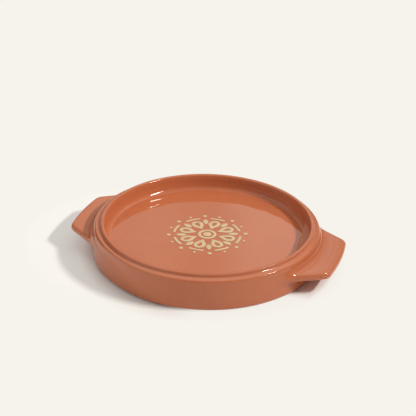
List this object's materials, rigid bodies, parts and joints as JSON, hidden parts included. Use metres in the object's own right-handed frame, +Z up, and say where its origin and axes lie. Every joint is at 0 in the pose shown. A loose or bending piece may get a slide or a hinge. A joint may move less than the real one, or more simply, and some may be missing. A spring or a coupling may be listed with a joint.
{
  "type": "terracotta baking dish",
  "caption": "Shallow round glazed terracotta baking dish with a raised lip inside a rounded shoulder, two broad lug handles and a cream slip rosette on its floor.",
  "frame": {"origin": "middle of the foot ring, on the plane that the dish stands on", "axes": "+Z up, out of the dish's mouth; +X along the line of the two handles, towards handle_right"},
  "size_m": [0.3196, 0.26, 0.0435],
  "materials": {
    "glazed_clay": "clear glossy glaze over terracotta",
    "cream_slip": "thin cream slip under the same clear glaze"
  },
  "bodies": {
    "root": {"dish_body": "glazed_clay", "handle_right": "glazed_clay", "handle_left": "glazed_clay", "slip_disc": "cream_slip", "slip_ring": "cream_slip", "slip_petal_1": "cream_slip", "slip_petal_2": "cream_slip", "slip_petal_3": "cream_slip", "slip_petal_4": "cream_slip", "slip_petal_5": "cream_slip", "slip_petal_6": "cream_slip", "slip_petal_7": "cream_slip", "slip_petal_8": "cream_slip", "slip_leaf_1": "cream_slip", "slip_leaf_2": "cream_slip", "slip_leaf_3": "cream_slip", "slip_leaf_4": "cream_slip", "slip_leaf_5": "cream_slip", "slip_leaf_6": "cream_slip", "slip_leaf_7": "cream_slip", "slip_leaf_8": "cream_slip", "slip_arch_1": "cream_slip", "slip_arch_2": "cream_slip", "slip_arch_3": "cream_slip", "slip_arch_4": "cream_slip", "slip_arch_5": "cream_slip", "slip_arch_6": "cream_slip", "slip_arch_7": "cream_slip", "slip_arch_8": "cream_slip", "slip_bead_1": "cream_slip", "slip_bead_2": "cream_slip", "slip_bead_3": "cream_slip", "slip_bead_4": "cream_slip", "slip_bead_5": "cream_slip", "slip_bead_6": "cream_slip", "slip_bead_7": "cream_slip", "slip_bead_8": "cream_slip", "slip_bead_9": "cream_slip", "slip_bead_10": "cream_slip", "slip_bead_11": "cream_slip", "slip_bead_12": "cream_slip", "slip_bead_13": "cream_slip", "slip_bead_14": "cream_slip", "slip_bead_15": "cream_slip", "slip_bead_16": "cream_slip"}
  },
  "joints": []
}
